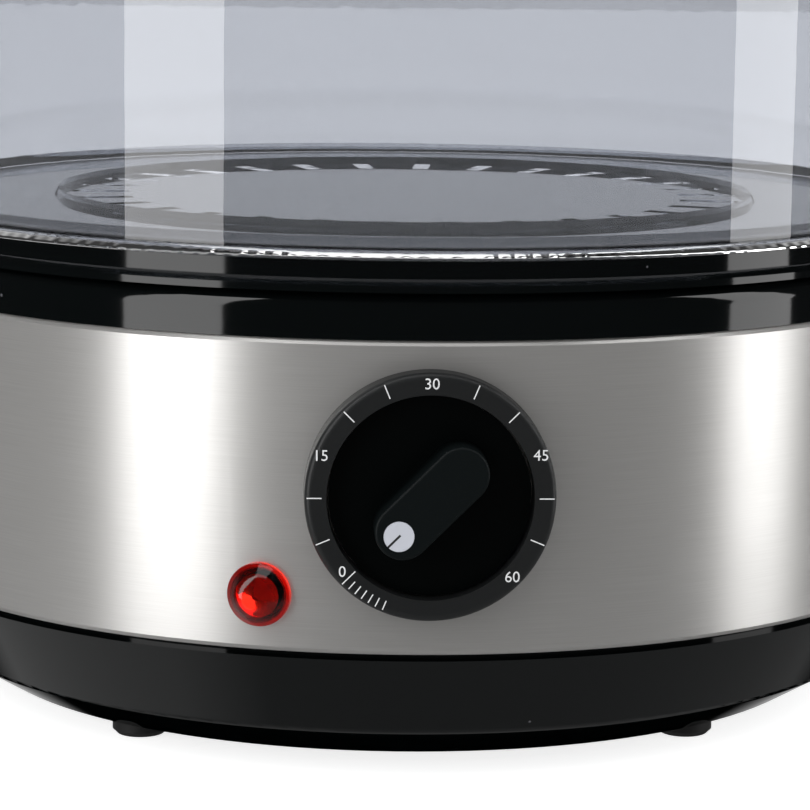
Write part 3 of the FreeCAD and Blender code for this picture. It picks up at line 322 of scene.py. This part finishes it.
markerLook = {
    "grey": (0.56, 0.58, 0.64), "greyShade": 0.92, "line": (0.02, 0.02, 0.02),
    "lineHalfWidth": 0.00022, "lineStart": -0.0004, "lean": math.radians(225),   # the way the knob points
    "roughness": 0.45, "broad": 200, "fine": 2500, "bump": 0.1, "depth": 0.00005,
}


def pointerInlay(look):
    # pale disc with a dark line from its middle to its rim, along the way the knob points
    material, tree, shader = newMaterial("pointerInlay", look["roughness"])
    low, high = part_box("knob_marker")
    mapping = addNode(tree, "ShaderNodeMapping", vector_type="TEXTURE")
    setInput(tree, mapping, "Vector", objectPlace(tree))
    mapping.inputs["Location"].default_value = (low + high) / 2
    mapping.inputs["Rotation"].default_value = (0, -look["lean"], 0)
    split = splitVector(tree, mapping.outputs[0])
    side = mathNode(tree, "LESS_THAN", mathNode(tree, "ABSOLUTE", split["Z"]), look["lineHalfWidth"])
    ahead = mathNode(tree, "GREATER_THAN", split["X"], look["lineStart"])
    skin = useGroup(tree, "moldedSkin", Broad_Scale=look["broad"], Fine_Scale=look["fine"])
    grey = mixColour(tree, skin.outputs["Tone"], look["grey"], shaded(look["grey"], look["greyShade"]))
    line = mathNode(tree, "MULTIPLY", side, ahead)
    setInput(tree, shader, "Base Color", mixColour(tree, line, grey, look["line"]))
    bumpFrom(tree, shader, skin.outputs["Height"], look)
    return material


knobLook = {
    "grip": (0.0042, 0.0062, 0.0066), "disc": (0.0004, 0.0012, 0.0012),   # raised grip, and the disc behind it darkened with painted shade for its recess
    "gripAhead": 0.003, "discBehind": 0.0005,                             # from the dial ring's face
    "specular": 0.12, "gloss": (0.34, 0.44), "broad": 25, "fine": 2600, "bump": 0.3, "depth": 0.00006,
    "dust": 0.008, "dustColour": (0.08, 0.08, 0.09),
}


def knobSkin(look):
    # satin black with painted shade: darker where the surface lies behind the dial ring's face, in the recess
    material, tree, shader = newMaterial("knobBlack", look["gloss"][0], Specular_IOR_Level=look["specular"])
    skin = useGroup(tree, "moldedSkin", Broad_Scale=look["broad"], Fine_Scale=look["fine"])
    split = splitVector(tree, objectPlace(tree))
    face = float(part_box("dial_ring")[0].y)
    # painted shade mask: 0 at the grip's face, 1 deep in the recess behind the ring
    recessShadeMask = mapRange(tree, split["Y"], face - look["gripAhead"], face + look["discBehind"], 0, 1)
    tone = mixColour(tree, recessShadeMask, look["grip"], look["disc"])
    setInput(tree, shader, "Base Color", dusted(tree, tone, look))
    glossFrom(tree, shader, skin.outputs["Tone"], look["gloss"])
    bumpFrom(tree, shader, skin.outputs["Height"], look)
    return material


# One finish for each of the record's material slots, and the knob's own.

finishes = {
    "black_gloss": moldedPlastic("glossBlack", {
        "dark": (0.0008, 0.0014, 0.0015), "light": (0.0018, 0.0026, 0.0028), "gloss": (0.045, 0.075),
        "specular": 0.42, "broad": 14, "fine": 160, "bump": 0.012, "depth": 0.0006,
        "dust": 0.006, "dustColour": (0.10, 0.10, 0.11)}),
    "black_matt": moldedPlastic("satinBlack", {
        "dark": (0.0090, 0.0100, 0.0105), "light": (0.0135, 0.0145, 0.0150), "gloss": (0.36, 0.46),
        "specular": 0.4, "fine": 2600, "bump": 0.35, "depth": 0.00006,
        "dust": 0.010, "dustColour": (0.09, 0.09, 0.10)}),
    "brushed_band": brushedSteel(steelLook),
    "clear_plastic": clearPlastic("clearPlastic", clearLook),
    "pointer_grey": pointerInlay(markerLook),
    "lamp_red": clearPlastic("lampRed", {
        "tint": (0.90, 0.035, 0.015), "tintDeep": (0.85, 0.02, 0.01),
        "roughness": 0.02, "ior": 1.5, "shadow": 0.4}),
    "bulb_glass": clearPlastic("bulbGlass", {
        "tint": (0.95, 0.78, 0.66), "tintDeep": (0.92, 0.74, 0.62),
        "roughness": 0.05, "ior": 1.5, "shadow": 0.3}),
    "rubber_black": moldedPlastic("blackRubber", {
        "dark": (0.010, 0.010, 0.010), "light": (0.016, 0.016, 0.016), "gloss": (0.55, 0.7),
        "fine": 1800, "bump": 0.2}),
    "silicone": moldedPlastic("siliconeSeal", {
        "dark": (0.68, 0.67, 0.62), "light": (0.74, 0.73, 0.69), "gloss": (0.4, 0.5)}),
    "zinc_steel": metal("zincSteel", {
        "dark": (0.50, 0.51, 0.53), "light": (0.60, 0.61, 0.63), "gloss": (0.25, 0.4)}),
    "cast_plate": metal("castPlate", {
        "dark": (0.60, 0.60, 0.60), "light": (0.72, 0.72, 0.71), "gloss": (0.4, 0.55), "bump": 0.4}),
    "element_sheath": metal("elementSheath", {
        "dark": (0.22, 0.20, 0.19), "light": (0.32, 0.30, 0.28), "gloss": (0.4, 0.6), "bump": 0.3}),
    "inner_plastic": moldedPlastic("innerPlastic", {
        "dark": (0.72, 0.70, 0.64), "light": (0.78, 0.76, 0.70), "gloss": (0.4, 0.5)}),
    "bell_brass": metal("bellBrass", {
        "dark": (0.66, 0.50, 0.22), "light": (0.76, 0.60, 0.30), "gloss": (0.2, 0.35)}),
}
ownFinishes = {"knob": knobSkin(knobLook)}

for subpart in frame["record"]["subparts"]:
    piece = nodes[subpart["node"]]
    piece.data.materials.clear()
    piece.data.materials.append(ownFinishes.get(subpart["node"], finishes[subpart["material_slot"]]))
print("finishes set on", len(nodes), "nodes")


def finishPiece(piece, body, slot, material=None):
    piece.data.materials.append(material or finishes[slot])
    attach(piece, body)


# Printed scale on the dial ring.

ringLow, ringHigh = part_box("dial_ring")
dialCentre = Vector((0, ringLow.y, (ringLow.z + ringHigh.z) / 2))

scaleLook = {
    "thick": 0.00004, "lift": 0.00001,                         # the ink, and its clearance from the ring
    "degreesPerMinute": 4.5, "topMinute": 30,
    "numeralHeight": 0.0022, "capitalShare": 0.72,             # a capital's height as a share of the font's size
    "numeralRadius": 0.0227, "topRadius": 0.0218,              # the top numeral sits a little further in
    "numerals": {0: 3.5, 15: -2.5, 30: 0, 45: 2.0, 60: 0},    # minute: degrees it is nudged clockwise
    "rise": 0.0007,                                            # numerals sit a little above their radius point
    "curveSteps": 4,
    "tickWidth": 0.00022, "tickRadii": (0.0211, 0.0240),
    "tickMinutes": (5, 10, 20, 25, 35, 40, 50, 55),
    "zeroRadii": (0.0204, 0.0240),                             # the long tick at zero
    "offRadii": (0.0219, 0.0238), "offCount": 6,               # ticks past zero
    "offStart": 41.4, "offStep": 3.76,                         # degrees clockwise from the bottom, and between
}


def dialPoint(degrees, radius):
    # degrees clockwise from the top, seen from the front
    turn = np.radians(degrees)
    return np.stack([radius * np.sin(turn), radius * np.cos(turn)], axis=-1)


def printedTicks(look):
    # each tick is a thin box: two ends on its radius, spread sideways by its width, raised by the ink's thickness
    minutes = np.array(look["tickMinutes"], float)
    degrees = (minutes - look["topMinute"]) * look["degreesPerMinute"]
    zeroDegrees = np.array([180 + look["offStart"] + look["offStep"]])
    offDegrees = 180 + look["offStart"] - look["offStep"] * np.arange(look["offCount"])
    angles = np.concatenate([degrees, zeroDegrees, offDegrees])
    ends = [look["tickRadii"]] * len(degrees) + [look["zeroRadii"]] + [look["offRadii"]] * look["offCount"]
    radii = np.array(ends)
    side = dialPoint(angles + 90, look["tickWidth"] / 2)
    near = dialPoint(angles, radii[:, 0])
    far = dialPoint(angles, radii[:, 1])
    flat = np.stack([near - side, far - side, far + side, near + side], axis=1)
    levels = np.array([0, look["thick"]]) + look["lift"]
    points = np.zeros((len(angles), 2, 4, 3))
    points[..., 0] = dialCentre.x + flat[:, None, :, 0]
    points[..., 1] = (dialCentre.y - levels)[None, :, None]
    points[..., 2] = dialCentre.z + flat[:, None, :, 1]
    corners = np.array([[4, 5, 6, 7], [3, 2, 1, 0], [0, 1, 5, 4], [1, 2, 6, 5], [2, 3, 7, 6], [3, 0, 4, 7]])
    quads = (np.arange(len(angles)) * 8)[:, None, None] + corners[None]
    return meshFromArrays("dial_ticks", points.reshape(-1, 3), quads.reshape(-1, 4), False)


def printedNumeral(number, nudge, look):
    curve = bpy.data.curves.new(f"numeral{number}", "FONT")
    curve.body = str(number)
    curve.size = look["numeralHeight"] / look["capitalShare"]
    curve.align_x = "CENTER"
    curve.extrude = look["thick"] / 2
    curve.resolution_u = look["curveSteps"]
    text = bpy.data.objects.new(f"numeral{number}", curve)
    bpy.context.scene.collection.objects.link(text)
    bpy.context.view_layer.update()
    mesh = bpy.data.meshes.new_from_object(text)
    bpy.data.objects.remove(text)
    degrees = (number - look["topMinute"]) * look["degreesPerMinute"] + nudge
    radius = look["topRadius"] if number == look["topMinute"] else look["numeralRadius"]
    across, up = dialPoint(degrees, radius)
    ahead = -look["lift"] - look["thick"] / 2
    spot = Vector((across, ahead, up + look["rise"] - look["numeralHeight"] / 2)) + dialCentre
    mesh.transform(Matrix.Translation(spot) @ Matrix.Rotation(math.pi / 2, 4, "X"))
    piece = bpy.data.objects.new(f"dial_numeral_{number}", mesh)
    bpy.context.scene.collection.objects.link(piece)
    return piece


inkColour = (0.80, 0.81, 0.82)
inkShade = 0.9
inkWhite = moldedPlastic("inkWhite", {
    "dark": shaded(inkColour, inkShade), "light": inkColour, "gloss": (0.4, 0.5), "broad": 900, "fine": 3000})
finishPiece(printedTicks(scaleLook), "base", "pointer_grey", inkWhite)
for number, nudge in scaleLook["numerals"].items():
    finishPiece(printedNumeral(number, nudge, scaleLook), "base", "pointer_grey", inkWhite)
print("dial scale printed")


# Fluted edge of each bowl's floor.

fluteLook = {
    "count": 230, "perFlute": 8, "depth": 0.0003, "thin": 0.00006,    # flutes, steps in each, swell, least wall
    "clear": 0.00003, "uneven": 0.85, "seed": 4,
    "edgeBand": 0.00001, "flareBand": 0.0045, "flareRise": 0.001,     # where the floor's edge and flare are read
    # points round the ring's section: how far up the flare each lies, and which of them are on the outer face
    "levels": (0.04, 0.04, 0.35, 0.65, 0.97, 0.97), "outside": (0, 1, 1, 1, 1, 0),
    "swellEnds": (0.05, 0.9),                                         # levels that the swell runs between
}


def flutedEdge(name, node, look):
    # a thin ring just outside the floor's flared edge; its thickness swells as sine squared of the angle, by an
    # uneven amount from flute to flute, and never passes the floor's own largest radius
    points = np.zeros((len(nodes[node].data.vertices), 3))
    nodes[node].data.vertices.foreach_get("co", points.reshape(-1))
    radii = np.hypot(points[:, 0], points[:, 1])
    edge = radii.max()
    edgeLow = points[radii > edge - look["edgeBand"]][:, 2].min()
    flare = points[(radii > edge - look["flareBand"]) & (points[:, 2] > edgeLow + look["flareRise"])]
    flareRadius = np.hypot(flare[:, 0], flare[:, 1]).max()
    edgeHigh = flare[:, 2].min()
    steps = look["count"] * look["perFlute"]
    angle = np.linspace(0, 2 * math.pi, steps, endpoint=False)
    amount = 1 - look["uneven"] * np.random.default_rng(look["seed"]).random(look["count"])
    swell = np.sin(angle * look["count"] / 2) ** 2 * amount[np.arange(steps) // look["perFlute"]]
    level = np.array(look["levels"])[None, :]
    outside = np.array(look["outside"])[None, :]
    slope = edge + (flareRadius - edge) * level + look["clear"]
    bulge = np.sin(math.pi * np.clip(level, *look["swellEnds"]))
    thickness = outside * (look["thin"] + look["depth"] * swell[:, None] * bulge)
    radius = np.minimum(slope + thickness, edge)
    radius = np.where(outside > 0, np.maximum(radius, slope + look["thin"] / 2), slope)
    height = edgeLow + (edgeHigh - edgeLow) * np.broadcast_to(level, radius.shape)
    grid = np.stack([radius * np.sin(angle)[:, None], -radius * np.cos(angle)[:, None], height], axis=-1)
    return meshFromGrid(name, grid[:, ::-1], True, True)


finishPiece(flutedEdge("lower_bowl_flutes", "lower_bowl_floor", fluteLook), "lower_bowl", "clear_plastic")
finishPiece(flutedEdge("upper_bowl_flutes", "upper_bowl_floor", fluteLook), "upper_bowl", "clear_plastic")
print("fluted edges made")


# Stage: floor, light and the photograph's camera.

def seenDirectly(tree, path):
    # 1 for the camera and through clear plastic, 0 for everything else
    return mathNode(tree, "MAXIMUM", path.outputs["Is Camera Ray"], path.outputs["Is Transmission Ray"])


floorLook = {
    "size": 8.0, "drop": 0.0002, "colour": (0.86, 0.86, 0.86), "shade": 0.98, "lift": 0.80,
    "roughness": 0.9, "broad": 0.8, "fine": 300,
}


def makeFloor(look):
    half = look["size"] / 2
    level = -look["drop"]
    corners = [[[-half, -half, level], [-half, half, level]], [[half, -half, level], [half, half, level]]]
    floor = meshFromGrid("floor", np.array(corners, float), False, False, smooth=False)
    material, tree, shader = newMaterial("paleFloor", look["roughness"], Specular_IOR_Level=0.0)
    skin = useGroup(tree, "moldedSkin", Broad_Scale=look["broad"], Fine_Scale=look["fine"])
    tone = mixColour(tree, skin.outputs["Tone"], shaded(look["colour"], look["shade"]), look["colour"])
    setInput(tree, shader, "Base Color", tone)
    seen = seenDirectly(tree, addNode(tree, "ShaderNodeLightPath"))
    shader.inputs["Emission Color"].default_value = (1, 1, 1, 1)
    setInput(tree, shader, "Emission Strength", mathNode(tree, "MULTIPLY", seen, look["lift"]))
    floor.data.materials.append(material)
    floor.visible_glossy = False


roomLook = {
    "ambient": 0.62, "frontGlow": 0.04, "backGlow": 0.62, "backStart": (0.35, 0.75),
    "underGlow": 0.21, "tableGlow": 0.25, "tableSide": (0.34, 0.52), "tableFar": (0.53, 0.66),
    "tableEdge": (-0.45, -0.25),
}


def makeWorld(look):
    # white to the camera and through clear plastic; reflections see a bright back, a dim front, and a table that
    # is lit on the left and dark under the pan
    world = bpy.data.worlds.new("studio")
    bpy.context.scene.world = world
    world.use_nodes = True
    tree = world.node_tree
    background = tree.nodes["Background"]
    split = splitVector(tree, addNode(tree, "ShaderNodeTexCoord").outputs["Generated"])
    leftward = mathNode(tree, "MULTIPLY", split["X"], -1)
    lit = mapRange(tree, leftward, *look["tableSide"], 0, look["tableGlow"])
    near = mapRange(tree, split["Y"], *look["tableFar"], 1, 0)
    table = mathNode(tree, "MULTIPLY", mathNode(tree, "ADD", lit, look["underGlow"]), near)
    walls = mapRange(tree, split["Y"], *look["backStart"], look["frontGlow"], look["backGlow"])
    room = mapRange(tree, split["Z"], *look["tableEdge"], table, walls)
    path = addNode(tree, "ShaderNodeLightPath")
    level = addNode(tree, "ShaderNodeMix", data_type="FLOAT")
    setInput(tree, level, "Factor", path.outputs["Is Glossy Ray"])
    setInput(tree, level, 2, look["ambient"])
    setInput(tree, level, 3, room)
    background.inputs["Color"].default_value = (1, 1, 1, 1)
    strength = mathNode(tree, "MAXIMUM", level.outputs[0], seenDirectly(tree, path))
    setInput(tree, background, "Strength", strength)


softboxes = {
    # degrees round from the dial (left is negative), distance, height of the middle, height aimed at, width,
    # length, radiance
    "leftBox": (-46.4, 0.50, 0.59, 0.59, 0.180, 1.30, 3.6),
    "rightBox": (70.0, 0.50, 0.59, 0.59, 0.140, 1.30, 3.2),
    "topBox": (0, 0.25, 1.60, 0.10, 0.9, 0.9, 1.6),
}


def makeSoftbox(name, degrees, distance, height, aimHeight, width, length, radiance):
    data = bpy.data.lights.new(name, "AREA")
    data.shape = "RECTANGLE"
    data.size = width
    data.size_y = length
    data.energy = radiance * math.pi * width * length
    lamp = bpy.data.objects.new(name, data)
    turn = math.radians(degrees)
    lamp.location = (distance * math.sin(turn), -distance * math.cos(turn), height)
    aim = Vector((0, 0, aimHeight)) - lamp.location
    lamp.rotation_euler = aim.to_track_quat("-Z", "Y").to_euler()
    lamp.visible_camera = False
    lamp.visible_transmission = False
    bpy.context.scene.collection.objects.link(lamp)


photoView = {
    "turn": 2.69, "distance": 0.7264, "aside": 0.0006, "height": 0.1784,   # degrees and metres from the axis
    "pitch": 9.28, "roll": 0.67, "lens": 141.24, "sensor": 36, "clipStart": 0.01,
}


def makeCamera(view):
    turn = math.radians(view["turn"])
    pitch = math.radians(view["pitch"])
    roll = math.radians(view["roll"])
    level = Vector((math.sin(turn), math.cos(turn), 0))
    right = Vector((level.y, -level.x, 0))
    forward = level * math.cos(pitch) - Vector((0, 0, math.sin(pitch)))
    upright = right.cross(forward)
    rolledRight = right * math.cos(roll) + upright * math.sin(roll)
    rolledUp = upright * math.cos(roll) - right * math.sin(roll)
    spot = right * view["aside"] - level * view["distance"] + Vector((0, 0, view["height"]))
    data = bpy.data.cameras.new("photoCamera")
    data.lens = view["lens"]
    data.sensor_width = view["sensor"]
    data.clip_start = view["clipStart"]
    camera = bpy.data.objects.new("photoCamera", data)
    turned = Matrix((rolledRight, rolledUp, -forward)).transposed().to_4x4()
    camera.matrix_world = Matrix.Translation(spot) @ turned
    bpy.context.scene.collection.objects.link(camera)
    bpy.context.scene.camera = camera


makeFloor(floorLook)
makeWorld(roomLook)
for name, setting in softboxes.items():
    makeSoftbox(name, *setting)
makeCamera(photoView)
bpy.context.scene.view_settings.view_transform = "Standard"
print("stage set")
